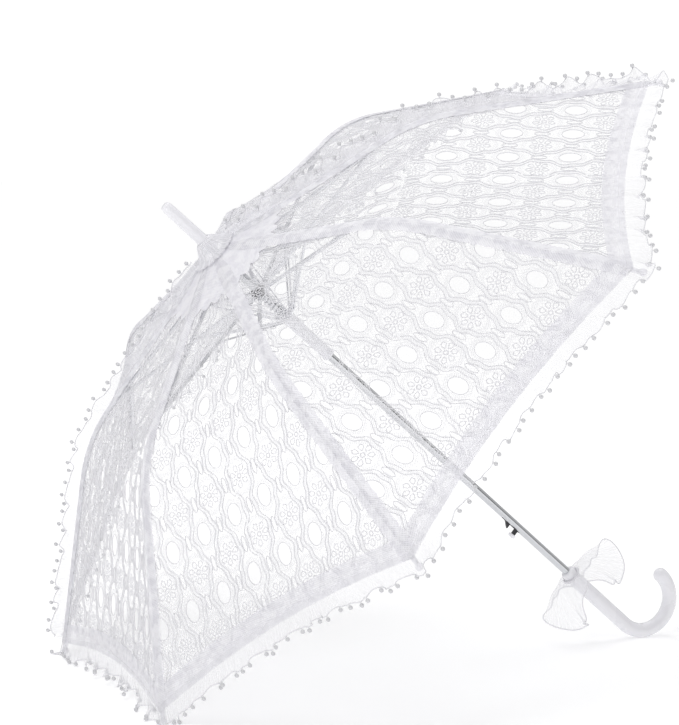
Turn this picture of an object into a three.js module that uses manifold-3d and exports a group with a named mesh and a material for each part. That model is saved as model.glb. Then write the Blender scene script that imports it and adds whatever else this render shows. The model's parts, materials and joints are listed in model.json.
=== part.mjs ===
// Lace parasol with an opening frame, lying open on two rib tips and the crook of its handle.
//
// The parasol is modelled about its own shaft: x is the direction that points up from the shaft as
// it lies, y is sideways, and z runs along the shaft towards the ferrule, from the plane of the rib
// tips. The last group turns it into the lying pose and sets the origin under its middle.
import * as THREE from 'three';
import { mergeVertices } from 'three/addons/utils/BufferGeometryUtils.js';
import Module from 'manifold-3d';

const wasm = await Module();
wasm.setup();

// ---- driving dimensions, millimetres and degrees ----
const ribCount = 8;
const tipRadius = 397;          // rib tip to shaft axis, open
const ribPivotRadius = 9;
const ribPivotHeight = 173;
const jointRadius = 168;        // stretcher joint on the rib, open
const jointHeight = 152;
const bendStartRadius = 170;    // the spring-steel rib starts to bend here
const bendEndRadius = 250;
const outerSlope = 37.5;         // slope of the rib beyond the bend
const foldAngle = 76;           // rib travel from open to folded
const ribWidth = 3;
const ribDepth = 3;
const tipBallRadius = 3.4;
const stretcherWidth = 3;
const stretcherDepth = 2.6;
const earThickness = 0.9;
const linkShare = 0.39;         // where the link meets the stretcher, from the hub end
const linkWire = 1;
const runnerOpenHeight = 94;    // link pivots on the runner, open
const shaftRadius = 4;
const shaftWall = 0.7;
const notchRadius = 6.8;
const hubRadius = 6.6;
const runnerTopRadius = 6.9;
const sleeveRadius = 6.2;
const sleeveLength = 58;
const springRadius = 5.6;
const springWire = 1;
const springTurns = 6;
const catchHeight = -223.5;
const buttonHeight = -233;
const catchStand = 4.6;         // the catch tooth stands this far out of the shaft
const catchLength = 8;
const buttonStem = 5;
const buttonRadius = 4;
const handleTop = -306;
const handleRadius = 7.3;
const handleBendStart = -395.5;
const handleBendRadius = 31.5;
const handleSocketDepth = 26;
const frillRadius = 42;
const frillWaves = 4;
const ferruleEnd = 254;
const ferruleRadius = 6;
const ferruleBase = 192;
const ferruleFlare = 8;
const clothThickness = 0.9;
const hemScallop = 20;          // the hem curves in by this much between two tips
const gap = 0.3;                // between pieces that touch
const slide = 0.35;             // around the shaft, for the hub and runner

const degree = Math.PI / 180;
const tan = (angle) => Math.tan(angle * degree);
const sector = 360 / ribCount;

// ---- places worked out from the driving dimensions ----
const ribSlope = Math.atan2(ribPivotHeight - jointHeight, jointRadius - ribPivotRadius);
const ribLine = (radius) => ribPivotHeight - (radius - ribPivotRadius) * Math.tan(ribSlope);
const stretcherLength = Math.hypot(jointRadius - ribPivotRadius, jointHeight - ribPivotHeight);
const hubOpenHeight = 2 * jointHeight - ribPivotHeight;
const linkRadius = ribPivotRadius + linkShare * (jointRadius - ribPivotRadius);
const linkHeight = hubOpenHeight + linkShare * (jointHeight - hubOpenHeight);
const linkLength = Math.hypot(linkHeight - runnerOpenHeight, linkRadius - ribPivotRadius);

// The runner's height once the ribs are folded against the shaft.
const foldedSlope = ribSlope + foldAngle * degree;
const jointFoldedHeight = ribPivotHeight - stretcherLength * Math.sin(foldedSlope);
const hubFoldedHeight = 2 * jointFoldedHeight - ribPivotHeight;
const linkFoldedReach = linkShare * stretcherLength * Math.cos(foldedSlope);
const linkFoldedHeight = hubFoldedHeight + linkShare * (jointFoldedHeight - hubFoldedHeight);
const runnerFoldedHeight = linkFoldedHeight - Math.sqrt(linkLength ** 2 - linkFoldedReach ** 2);

// The rib from its pivot to its tip: straight, then an even bend, then straight down to the tip.
function ribPoints() {
  const points = [[ribPivotRadius, ribPivotHeight], [jointRadius, jointHeight]];
  const steps = 8;
  let height = ribLine(bendStartRadius);
  let radius = bendStartRadius;
  points.push([radius, height]);
  for (let step = 0; step < steps; step += 1) {
    const share = (step + 0.5) / steps;
    const slope = ribSlope + (outerSlope * degree - ribSlope) * share;
    const run = (bendEndRadius - bendStartRadius) / steps;
    radius += run;
    height -= run * Math.tan(slope);
    points.push([radius, height]);
  }
  points.push([tipRadius, height - (tipRadius - bendEndRadius) * tan(outerSlope)]);
  return points;
}
const ribPath = ribPoints();
const tipHeight = ribPath.at(-1)[1];
const flexRadius = (ribPath.at(-2)[1] + bendEndRadius * tan(outerSlope) - ribLine(0))
  / (tan(outerSlope) - Math.tan(ribSlope));
const flexHeight = ribLine(flexRadius);

// ---- solids ----
function toSolid(geometry) {
  const plain = geometry.clone();
  plain.deleteAttribute('normal');
  plain.deleteAttribute('uv');
  const merged = mergeVertices(plain, 1e-4);
  return new wasm.Manifold(new wasm.Mesh({
    numProp: 3,
    vertProperties: new Float32Array(merged.attributes.position.array),
    triVerts: new Uint32Array(merged.index.array),
  }));
}

function toGeometry(solid) {
  const mesh = solid.getMesh();
  const geometry = new THREE.BufferGeometry();
  geometry.setAttribute('position', new THREE.BufferAttribute(mesh.vertProperties, 3));
  geometry.setIndex(new THREE.BufferAttribute(mesh.triVerts, 1));
  return geometry;
}

const joined = (...shapes) => toGeometry(shapes.map(toSolid).reduce((sum, shape) => sum.add(shape)));
const cut = (shape, ...tools) => toGeometry(
  tools.map(toSolid).reduce((rest, tool) => rest.subtract(tool), toSolid(shape)));

// A turned shape about the shaft from [radius, height] points.
function turned(points, sides = 32) {
  const profile = points.map(([radius, height]) => new THREE.Vector2(radius, height));
  return new THREE.LatheGeometry(profile, sides).rotateX(Math.PI / 2);
}

// A ring about the shaft: the outer outline from top to bottom, closed along a straight bore.
function ring(outline, boreRadius, sides = 32) {
  const top = outline[0][1];
  const bottom = outline.at(-1)[1];
  const profile = [[boreRadius, top], ...outline, [boreRadius, bottom], [boreRadius, top]];
  return turned(profile.reverse(), sides);
}

// A bar of the given width whose middle follows [along, up] points in the x-z plane.
function bar(points, depth, width) {
  const upper = [];
  const lower = [];
  points.forEach(([x, z], index) => {
    const before = points[Math.max(index - 1, 0)];
    const after = points[Math.min(index + 1, points.length - 1)];
    const angle = Math.atan2(after[1] - before[1], after[0] - before[0]);
    upper.push([x - Math.sin(angle) * depth / 2, z + Math.cos(angle) * depth / 2]);
    lower.unshift([x + Math.sin(angle) * depth / 2, z - Math.cos(angle) * depth / 2]);
  });
  const outline = new THREE.Shape([...upper, ...lower].map(([x, z]) => new THREE.Vector2(x, z)));
  return new THREE.ExtrudeGeometry(outline, { depth: width, bevelEnabled: false })
    .translate(0, 0, -width / 2)
    .rotateX(Math.PI / 2);
}

const material = (color, roughness, metalness = 0) =>
  new THREE.MeshStandardMaterial({ color, roughness, metalness });
const chrome = material(0xd8d9dc, 0.18, 1);
const steel = material(0xb9bcc2, 0.35, 1);
const whitePlastic = material(0xf4f4f6, 0.3);
const blackPlastic = material(0x1b1b1d, 0.45);
const lace = material(0xf3f3f7, 0.85);

function piece(name, geometry, look) {
  const mesh = new THREE.Mesh(geometry, look);
  mesh.name = name;
  return mesh;
}

// ---- shaft, ferrule and latch ----
const latchSlotHalf = 1.9;
const leverWidth = 2.6;
const leverThickness = 1.6;
const innerRadius = shaftRadius - shaftWall;

function shaftTube() {
  const bottom = handleTop - handleSocketDepth + gap;
  const top = ferruleBase + 22;
  const tube = ring([[shaftRadius, top], [shaftRadius, bottom]], innerRadius, 32);
  const slotTop = catchHeight + catchLength + 4;
  const slotBottom = buttonHeight - buttonStem / 2 - 1.5;
  const slot = new THREE.BoxGeometry(shaftRadius, 2 * latchSlotHalf, slotTop - slotBottom)
    .translate(-shaftRadius, 0, (slotTop + slotBottom) / 2);
  return cut(tube, slot);
}

function ferruleCap() {
  const bore = shaftRadius + gap;
  const socketEnd = ferruleBase + 22 + gap;
  const outline = [
    [0, socketEnd], [bore, socketEnd], [bore, ferruleBase], [ferruleFlare, ferruleBase],
    [ferruleFlare, ferruleBase + 3], [ferruleRadius, ferruleBase + 8],
    [ferruleRadius - 0.4, ferruleEnd - 5], [ferruleRadius - 1.4, ferruleEnd - 1.4],
    [ferruleRadius - 3, ferruleEnd], [0, ferruleEnd],
  ];
  return turned(outline);
}

// A grooved ring that rib or stretcher feet hook into.
function groovedRing(height, radius, above, below, bore) {
  const groove = radius - 1.2;
  return ring([
    [radius, height + above], [radius, height + 1.2], [groove, height + 0.6],
    [groove, height - 0.6], [radius, height - 1.2], [radius, height - below],
  ], bore);
}

function lowerRunner() {
  const height = runnerOpenHeight;
  const bottom = height - sleeveLength;
  const outline = [
    [runnerTopRadius, height + 4], [runnerTopRadius, height - 5], [sleeveRadius, height - 7],
    [sleeveRadius - 0.6, bottom + 4], [sleeveRadius, bottom + 2], [sleeveRadius, bottom],
  ];
  // a slot up from the sleeve's end, which the catch stands in once the parasol is folded
  const travel = runnerOpenHeight - runnerFoldedHeight;
  const slotTop = catchHeight + catchLength + gap + travel;
  const slotLength = slotTop - bottom + 1;
  const catchSlot = new THREE.BoxGeometry(2 * sleeveRadius, 2 * latchSlotHalf, slotLength)
    .translate(-sleeveRadius, 0, slotTop - slotLength / 2);
  return cut(ring(outline, shaftRadius + slide), catchSlot);
}

// The catch, its spring-steel lever inside the tube and the stem of the button, in one strip.
function latchLever() {
  const leverTop = catchHeight + catchLength + 2;
  const leverBottom = buttonHeight - 2.5;
  const face = -(innerRadius - 0.3);
  const lever = new THREE.BoxGeometry(leverThickness, leverWidth, leverTop - leverBottom)
    .translate(face + leverThickness / 2, 0, (leverTop + leverBottom) / 2);
  const tooth = new THREE.Shape([
    new THREE.Vector2(face + 0.5, catchHeight + catchLength),
    new THREE.Vector2(-(shaftRadius + catchStand), catchHeight),
    new THREE.Vector2(face + 0.5, catchHeight),
  ]);
  const catchTooth = new THREE.ExtrudeGeometry(tooth, { depth: leverWidth, bevelEnabled: false })
    .translate(0, 0, -leverWidth / 2)
    .rotateX(Math.PI / 2);
  const stemEnd = -(shaftRadius + buttonStem);
  const stem = new THREE.BoxGeometry(face + 0.5 - stemEnd, leverWidth, 4)
    .translate((face + 0.5 + stemEnd) / 2, 0, buttonHeight);
  return joined(lever, catchTooth, stem);
}

function buttonCap() {
  const inner = shaftRadius + buttonStem + gap;
  return new THREE.LatheGeometry([
    [0, 0], [buttonRadius, 0], [buttonRadius, 1.8], [buttonRadius - 1, 2.8], [0, 3.2],
  ].map(([radius, height]) => new THREE.Vector2(radius, height)), 24)
    .rotateZ(Math.PI / 2)
    .translate(-inner, 0, buttonHeight);
}

// ---- handle ----
class CrookPath extends THREE.Curve {
  getPoint(share, target = new THREE.Vector3()) {
    const straight = handleTop - handleBendStart;
    const bend = Math.PI * handleBendRadius;
    const along = share * (straight + bend);
    if (along < straight) return target.set(0, 0, handleTop - along);
    const angle = (along - straight) / handleBendRadius;
    const x = handleBendRadius * (1 - Math.cos(angle));
    return target.set(x, 0, handleBendStart - handleBendRadius * Math.sin(angle));
  }
}

function circle(radius, sides) {
  const points = [];
  for (let side = 0; side < sides; side += 1) {
    const angle = side / sides * 2 * Math.PI;
    points.push(new THREE.Vector2(radius * Math.cos(angle), radius * Math.sin(angle)));
  }
  return new THREE.Shape(points);
}

function handleHook() {
  const rod = new THREE.ExtrudeGeometry(circle(handleRadius, 20), {
    steps: 34, bevelEnabled: false, extrudePath: new CrookPath(),
  });
  const end = new THREE.SphereGeometry(handleRadius * 0.995, 20, 12)
    .translate(2 * handleBendRadius, 0, handleBendStart);
  const socket = new THREE.CylinderGeometry(shaftRadius + gap, shaftRadius + gap, handleSocketDepth, 24)
    .rotateX(Math.PI / 2)
    .translate(0, 0, handleTop - handleSocketDepth / 2 + 0.01);
  return cut(joined(rod, end), socket);
}

// A gathered collar of sheer cloth round the top of the handle.
function handleFrill() {
  const around = 72;
  const across = 5;
  const inner = handleRadius + gap + 0.3;
  const positions = [];
  const place = (side, ringIndex, lift) => {
    const angle = side / around * 2 * Math.PI;
    const share = ringIndex / across;
    const radius = inner + (frillRadius - inner) * share;
    const wave = 7 * share * Math.sin(angle * frillWaves);
    positions.push(radius * Math.cos(angle), radius * Math.sin(angle),
      handleTop - 14 + 10 * share + wave + lift);
  };
  for (let side = 0; side < around; side += 1) {
    for (let ringIndex = 0; ringIndex <= across; ringIndex += 1) place(side, ringIndex, 0);
    for (let ringIndex = across; ringIndex >= 0; ringIndex -= 1) place(side, ringIndex, clothThickness);
  }
  return loft(positions, around, 2 * (across + 1), true);
}

// Joins rows of points into one closed skin. Each row is a loop that goes out along one face of the
// sheet and back along the other. The rows close on the first, or the two end rows are capped.
function loft(positions, rows, count, closed) {
  const index = [];
  const at = (row, column) => (row % rows) * count + (column % count);
  for (let row = 0; row < (closed ? rows : rows - 1); row += 1) {
    for (let column = 0; column < count; column += 1) {
      const corners = [at(row, column), at(row + 1, column), at(row + 1, column + 1), at(row, column + 1)];
      index.push(corners[0], corners[1], corners[2], corners[0], corners[2], corners[3]);
    }
  }
  if (!closed) {
    const last = (rows - 1) * count;
    for (let column = 0; column < count / 2 - 1; column += 1) {
      const [a, b, c, d] = [column, column + 1, count - 2 - column, count - 1 - column];
      index.push(a, b, c, a, c, d);
      index.push(last + a, last + c, last + b, last + a, last + d, last + c);
    }
  }
  const geometry = new THREE.BufferGeometry();
  geometry.setAttribute('position', new THREE.Float32BufferAttribute(positions, 3));
  geometry.setIndex(index);
  return geometry;
}

// ---- opening spring, between the hub and the runner ----
class Helix extends THREE.Curve {
  getPoint(share, target = new THREE.Vector3()) {
    const bottom = runnerOpenHeight + 4 + springWire;
    const top = hubOpenHeight - 5 - springWire;
    const angle = share * springTurns * 2 * Math.PI;
    return target.set(springRadius * Math.cos(angle), springRadius * Math.sin(angle),
      bottom + (top - bottom) * share);
  }
}

function openingSpring() {
  return new THREE.ExtrudeGeometry(circle(springWire / 2, 6), {
    steps: springTurns * 14, bevelEnabled: false, extrudePath: new Helix(),
  });
}

// ---- one rib with its stretcher and link, in the x-z plane; the loop turns them to their places ----
const ribCut = flexRadius - 2;  // the inner and outer halves meet here
const pointOnRib = (radius) => {
  const index = ribPath.findIndex(([r]) => r >= radius);
  const [r0, h0] = ribPath[index - 1];
  const [r1, h1] = ribPath[index];
  return [radius, h0 + (h1 - h0) * (radius - r0) / (r1 - r0)];
};

function ribInner() {
  const inside = ribPath.filter(([radius]) => radius < ribCut - 1);
  return bar([...inside, pointOnRib(ribCut - gap / 2)], ribDepth, ribWidth);
}

function ribOuter() {
  const outside = ribPath.filter(([radius]) => radius > ribCut + 1);
  const strip = bar([pointOnRib(ribCut + gap / 2), ...outside], ribDepth, ribWidth);
  const ball = new THREE.SphereGeometry(tipBallRadius, 14, 10).translate(tipRadius, 0, tipHeight);
  return joined(strip, ball);
}

function stretcher() {
  const slope = Math.atan2(jointHeight - hubOpenHeight, jointRadius - ribPivotRadius);
  const forkStart = 24;
  const barEnd = 16;
  const forkWidth = ribWidth + 2 * gap + 2 * earThickness;
  const strip = bar([[0, 0], [stretcherLength - barEnd, 0]], stretcherDepth, stretcherWidth);
  const root = new THREE.BoxGeometry(forkStart - barEnd, forkWidth, stretcherDepth)
    .translate(stretcherLength - (forkStart + barEnd) / 2, 0, 0);
  const ears = [1, -1].map((side) => new THREE.BoxGeometry(barEnd + 2.5, earThickness, stretcherDepth)
    .translate(stretcherLength - (barEnd - 1.5) / 2 - 0.2, side * (forkWidth - earThickness) / 2, 0));
  return joined(strip, root, ...ears)
    .rotateY(-slope)
    .translate(ribPivotRadius, 0, hubOpenHeight);
}

function link() {
  const slope = Math.atan2(linkHeight - runnerOpenHeight, linkRadius - ribPivotRadius);
  const spread = stretcherWidth + 2 * gap + linkWire;
  const bridge = 7;
  const foot = new THREE.BoxGeometry(bridge, spread + linkWire, linkWire * 1.4).translate(bridge / 2, 0, 0);
  const wires = [1, -1].map((side) => new THREE.BoxGeometry(linkLength + 1.5, linkWire, linkWire * 1.4)
    .translate((linkLength + 1.5) / 2, side * spread / 2, 0));
  return joined(foot, ...wires)
    .rotateY(-slope)
    .translate(ribPivotRadius, 0, runnerOpenHeight);
}

// ---- canopy ----
// The cloth's seam over a rib: gathered under the ferrule, then coming down onto the rib.
const clothLift = ribDepth / 2 + gap + ribWidth / 2 * tan(sector / 2) * tan(outerSlope);
const gatherRadius = 10;
const gatherHeight = 189.6;
function seamPoints() {
  const restRadius = 172;
  const landing = ribLine(restRadius) + clothLift;
  const points = [[gatherRadius, gatherHeight]];
  points.push([restRadius, landing]);
  ribPath.filter(([radius]) => radius > restRadius + 8).forEach(([radius, height]) => {
    const slope = ribSlope + (outerSlope * degree - ribSlope)
      * THREE.MathUtils.clamp((radius - bendStartRadius) / (bendEndRadius - bendStartRadius), 0, 1);
    points.push([radius, height + clothLift / Math.cos(slope)]);
  });
  const [lastRadius, lastHeight] = points.pop();
  const hemBack = 5;
  points.push([lastRadius - hemBack, lastHeight + hemBack * tan(outerSlope)]);
  return points;
}
const seam = seamPoints();

// The cloth on both sides of one rib, from first to last seam radius, out to the gores' middles.
function clothPanel(fromRadius, toRadius) {
  const inRange = seam.filter(([radius]) => radius > fromRadius + 1 && radius < toRadius - 1);
  const at = (radius) => {
    const index = Math.max(seam.findIndex(([r]) => r >= radius - 1e-6), 1);
    const [r0, h0] = seam[index - 1];
    const [r1, h1] = seam[index];
    return [radius, h0 + (h1 - h0) * (radius - r0) / (r1 - r0)];
  };
  const line = [at(fromRadius), ...inRange, at(toRadius)];
  const hem = seam.at(-1)[0];
  const across = [-1, -0.5, 0, 0.5, 1];
  const positions = [];
  line.forEach(([radius, height]) => {
    const nearHem = THREE.MathUtils.clamp((radius - bendEndRadius) / (hem - bendEndRadius), 0, 1);
    const point = (side, lift) => {
      const back = hemScallop * nearHem * (1 - (1 - Math.abs(side)) ** 2);
      const span = radius - back * Math.cos(outerSlope * degree);
      const rise = back * Math.sin(outerSlope * degree);
      const edge = Math.abs(side) === 1 ? Math.sign(side) * gap / 2 : 0;
      positions.push(...flatGore(span, side * sector / 2 * degree, edge), height + rise + lift);
    };
    across.forEach((side) => point(side, clothThickness));
    [...across].reverse().forEach((side) => point(side, 0));
  });
  return loft(positions, line.length, 2 * across.length, false);
}

// A point of the flat gore between two ribs, seen along the shaft, at this angle from the rib.
function flatGore(radius, angle, edge) {
  const half = sector / 2 * degree;
  const reach = radius * Math.cos(half) / Math.cos(half - Math.abs(angle));
  return [reach * Math.cos(angle) + edge * Math.sin(angle), reach * Math.sin(angle) - edge];
}

// ---- assembly ----
const parasol = new THREE.Group();
parasol.add(
  piece('shaft_tube', shaftTube(), chrome),
  piece('ferrule_cap', ferruleCap(), whitePlastic),
  piece('top_notch', groovedRing(ribPivotHeight, notchRadius, 4, 4, shaftRadius + gap), whitePlastic),
  piece('upper_hub', groovedRing(hubOpenHeight, hubRadius, 4, 5, shaftRadius + slide), blackPlastic),
  piece('lower_runner', lowerRunner(), whitePlastic),
  piece('opening_spring', openingSpring(), steel),
  piece('latch_lever', latchLever(), blackPlastic),
  piece('button_cap', buttonCap(), whitePlastic),
  piece('handle_hook', handleHook(), whitePlastic),
  piece('handle_frill', handleFrill(), lace),
);

const clothCut = flexRadius;
const hemRadius = seam.at(-1)[0];
for (let rib = 0; rib < ribCount; rib += 1) {
  const arm = new THREE.Group();
  arm.rotation.z = Math.PI + (rib + 0.5) * sector * degree;
  const number = rib + 1;
  arm.add(
    piece(`rib_${number}_inner`, ribInner(), steel),
    piece(`rib_${number}_outer`, ribOuter(), whitePlastic),
    piece(`stretcher_${number}`, stretcher(), steel),
    piece(`link_${number}`, link(), steel),
    piece(`canopy_${number}_inner`, clothPanel(gatherRadius, clothCut - gap / 2), lace),
    piece(`canopy_${number}_outer`, clothPanel(clothCut + gap / 2, hemRadius), lace),
  );
  parasol.add(arm);
}

// ---- lying pose: two rib tips and the crook touch the ground ----
// The shaft leans so that the lowest points of the tips and of the crook are level: with the lean b,
// across * cos b - along * sin b = rise.
const tipReach = tipRadius * Math.cos(sector / 2 * degree);
const across = handleBendRadius + tipReach;
const along = tipHeight - handleBendStart;
const rise = handleBendRadius + handleRadius - tipBallRadius;
const lean = Math.acos(rise / Math.hypot(across, along)) - Math.atan2(along, across);

const lying = new THREE.Group();
const axes = new THREE.Matrix4().makeBasis(
  new THREE.Vector3(Math.sin(lean), 0, Math.cos(lean)),
  new THREE.Vector3(0, 1, 0),
  new THREE.Vector3(-Math.cos(lean), 0, Math.sin(lean)),
);
lying.quaternion.setFromRotationMatrix(axes);
lying.add(parasol);

const model = new THREE.Group();
model.add(lying);
lying.updateMatrixWorld(true);
const box = new THREE.Box3().setFromObject(lying, true);
lying.position.set(-(box.min.x + box.max.x) / 2, -(box.min.y + box.max.y) / 2, -box.min.z);
model.updateMatrixWorld(true);

export default model;
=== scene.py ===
import json
import math

import bpy
import numpy as np
from mathutils import Matrix, Vector

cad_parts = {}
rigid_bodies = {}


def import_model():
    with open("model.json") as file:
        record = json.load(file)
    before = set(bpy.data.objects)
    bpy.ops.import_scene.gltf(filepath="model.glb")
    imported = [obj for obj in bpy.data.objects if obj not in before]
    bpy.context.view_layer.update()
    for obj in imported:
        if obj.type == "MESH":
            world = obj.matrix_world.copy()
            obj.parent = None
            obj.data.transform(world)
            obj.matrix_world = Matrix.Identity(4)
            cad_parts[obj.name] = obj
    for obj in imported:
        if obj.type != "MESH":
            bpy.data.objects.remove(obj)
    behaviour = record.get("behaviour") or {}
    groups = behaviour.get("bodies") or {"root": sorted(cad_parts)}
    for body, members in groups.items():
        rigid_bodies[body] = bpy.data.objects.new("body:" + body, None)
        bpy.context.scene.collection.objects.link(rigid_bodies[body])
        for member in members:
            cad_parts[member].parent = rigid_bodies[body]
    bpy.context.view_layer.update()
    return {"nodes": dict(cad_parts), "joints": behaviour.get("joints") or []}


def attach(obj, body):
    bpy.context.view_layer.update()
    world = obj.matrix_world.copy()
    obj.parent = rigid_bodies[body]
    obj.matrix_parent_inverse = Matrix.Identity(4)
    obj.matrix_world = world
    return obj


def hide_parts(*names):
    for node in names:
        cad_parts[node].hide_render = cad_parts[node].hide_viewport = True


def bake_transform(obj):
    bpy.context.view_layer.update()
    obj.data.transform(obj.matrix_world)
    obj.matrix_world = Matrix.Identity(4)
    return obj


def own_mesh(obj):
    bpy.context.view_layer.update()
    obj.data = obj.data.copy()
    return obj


for leftover in list(bpy.data.objects):
    bpy.data.objects.remove(leftover)

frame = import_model()
print("frame loaded")


# the parasol's own directions, from its joints: along the stick, and up and sideways from it
joints = {joint["name"]: joint for joint in frame["joints"]}
stick = np.array(joints["runner_slide"]["axis"])
upward = np.array(joints["button_press"]["axis"])
sideways = np.cross(stick, upward)

parasol = {
    "ribs": 8,
    "ribPivot": (0.009, 0.173),     # radius from the stick, height over the plane of the tips
    "jointRadius": 0.168,
    "jointHeight": 0.152,
    "bendStart": 0.170,
    "bendEnd": 0.250,
    "outerSlope": math.radians(37.5),
    "tipRadius": 0.397,
    "ribDepth": 0.003,
    "ribWidth": 0.003,
}
sector = 2 * math.pi / parasol["ribs"]
firstPivot = np.array(joints["canopy_fold"]["pos_m"])
firstAngle = math.pi + sector / 2
firstOut = upward * math.cos(firstAngle) + sideways * math.sin(firstAngle)
middle = firstPivot - firstOut * parasol["ribPivot"][0] - stick * parasol["ribPivot"][1]


def ribAngle(rib):
    return math.pi + (rib + 0.5) * sector


# a point, or arrays of points, at this radius, angle and height about the stick
def place(radius, angle, height):
    radius, angle, height = np.broadcast_arrays(radius, angle, height)
    return (middle + np.multiply.outer(radius * np.cos(angle), upward)
            + np.multiply.outer(radius * np.sin(angle), sideways)
            + np.multiply.outer(height, stick))


def unit(vectors):
    return vectors / np.maximum(np.linalg.norm(vectors, axis=-1, keepdims=True), 1e-12)


def smoothStep(low, high, value):
    share = np.clip((value - low) / (high - low), 0, 1)
    return share * share * (3 - 2 * share)


# ---- meshes ----

def meshObject(name, points, faces, materials=(), uv=None, smooth=True, edges=()):
    mesh = bpy.data.meshes.new(name)
    mesh.from_pydata([tuple(p) for p in points], list(edges), [tuple(f) for f in faces])
    if uv is not None:
        layer = mesh.uv_layers.new(name="cloth")
        loops = np.zeros(len(mesh.loops), np.int32)
        mesh.loops.foreach_get("vertex_index", loops)
        layer.data.foreach_set("uv", np.asarray(uv, np.float32)[loops].ravel())
    mesh.update()
    if smooth and len(mesh.polygons):
        mesh.polygons.foreach_set("use_smooth", [True] * len(mesh.polygons))
    for material in materials:
        mesh.materials.append(material)
    thing = bpy.data.objects.new(name, mesh)
    bpy.context.scene.collection.objects.link(thing)
    return thing


# faces of a grid of rows by columns, whose rows or columns may close on themselves
def gridFaces(rows, columns, closeRows=False, closeColumns=False, start=0):
    faces = []
    for row in range(rows if closeRows else rows - 1):
        for column in range(columns if closeColumns else columns - 1):
            nextRow, nextColumn = (row + 1) % rows, (column + 1) % columns
            faces.append((start + row * columns + column, start + row * columns + nextColumn,
                          start + nextRow * columns + nextColumn, start + nextRow * columns + column))
    return faces


# a shape turned about an axis, from radius and height pairs that start and end on the axis,
# or that close on themselves when it is a ring
def turnedPiece(name, profile, material, sides=64, ring=False, centre=None, axis=None):
    centre = middle if centre is None else np.asarray(centre)
    axis = stick if axis is None else unit(np.asarray(axis))
    first = unit(np.cross(axis, sideways if abs(np.dot(axis, sideways)) < 0.9 else upward))
    second = np.cross(axis, first)
    angles = np.linspace(0, 2 * math.pi, sides, endpoint=False)[:, None]
    radius, height = np.array(profile, float).T
    points = (centre + np.multiply.outer(radius * np.cos(angles), first)
              + np.multiply.outer(radius * np.sin(angles), second) + (height[:, None] * axis)[None])
    faces = gridFaces(sides, len(profile), closeRows=True, closeColumns=ring)
    thing = meshObject(name, points.reshape(-1, 3), faces, [material])
    tidyMesh(thing)
    return thing


# merges doubled points and points the faces outwards
def tidyMesh(thing, distance=1e-6):
    import bmesh
    work = bmesh.new()
    work.from_mesh(thing.data)
    bmesh.ops.remove_doubles(work, verts=work.verts, dist=distance)
    bmesh.ops.dissolve_degenerate(work, edges=work.edges, dist=1e-7)
    bmesh.ops.recalc_face_normals(work, faces=work.faces)
    work.to_mesh(thing.data)
    work.free()
    thing.data.update()


# rounds a profile's corners: each inner corner becomes a short arc
def rounded(profile, radius, steps=4):
    result = [np.array(profile[0], float)]
    for before, corner, after in zip(profile, profile[1:], profile[2:]):
        before, corner, after = (np.array(point, float) for point in (before, corner, after))
        reach = min(radius, 0.45 * np.linalg.norm(corner - before), 0.45 * np.linalg.norm(after - corner))
        first = corner + (before - corner) / max(np.linalg.norm(before - corner), 1e-9) * reach
        last = corner + (after - corner) / max(np.linalg.norm(after - corner), 1e-9) * reach
        for step in range(steps + 1):
            share = step / steps
            result.append((1 - share) ** 2 * first + 2 * share * (1 - share) * corner + share ** 2 * last)
    result.append(np.array(profile[-1], float))
    return result


# a section swept along a path; the section's first coordinate goes along across, its second along lift
def sweptPiece(name, path, across, lift, section, material, closed=True):
    path, section = np.asarray(path), np.asarray(section)
    points = (path[:, None, :] + section[None, :, 0, None] * across[:, None, :]
              + section[None, :, 1, None] * lift[:, None, :]).reshape(-1, 3)
    count = len(section)
    faces = gridFaces(len(path), count, closeColumns=closed)
    faces += [tuple(range(count)), tuple(range((len(path) - 1) * count, len(path) * count))[::-1]]
    thing = meshObject(name, points, faces, [material])
    tidyMesh(thing)
    return thing


def bevelled(thing, width, segments=2, angle=30):
    bevel = thing.modifiers.new("edges", "BEVEL")
    bevel.width, bevel.segments = width, segments
    bevel.limit_method, bevel.angle_limit = "ANGLE", math.radians(angle)
    return thing


# ---- shader maths ----

class Term:
    def __init__(self, tree, socket):
        self.tree, self.socket = tree, socket

    def math(self, operation, other=None, third=None):
        return self.node("ShaderNodeMath", {"operation": operation}, [self, other, third])

    def node(self, kind, settings=None, inputs=(), output=0):
        made = self.tree.nodes.new(kind)
        for key, value in (settings or {}).items():
            setattr(made, key, value)
        pairs = inputs.items() if isinstance(inputs, dict) else enumerate(inputs)
        for key, value in pairs:
            if isinstance(value, Term):
                self.tree.links.new(value.socket, made.inputs[key])
            elif value is not None:
                made.inputs[key].default_value = value
        return Term(self.tree, made.outputs[output])

    def __add__(self, other): return self.math("ADD", other)
    __radd__ = __add__
    def __mul__(self, other): return self.math("MULTIPLY", other)
    __rmul__ = __mul__
    def __sub__(self, other): return self.math("SUBTRACT", other)
    def __rsub__(self, other): return (self * -1.0) + other
    def __truediv__(self, other): return self.math("DIVIDE", other)
    def sine(self): return self.math("SINE")
    def absolute(self): return self.math("ABSOLUTE")
    def fraction(self): return self.math("FRACT")
    def rounding(self): return self.math("ROUND")
    def most(self, other): return self.math("MAXIMUM", other)
    def least(self, other): return self.math("MINIMUM", other)

    # 0 below low and 1 above high, smooth between
    def ramp(self, low, high):
        return self.node("ShaderNodeMapRange", {"interpolation_type": "SMOOTHSTEP"},
                         {"Value": self, "From Min": low, "From Max": high})


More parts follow.
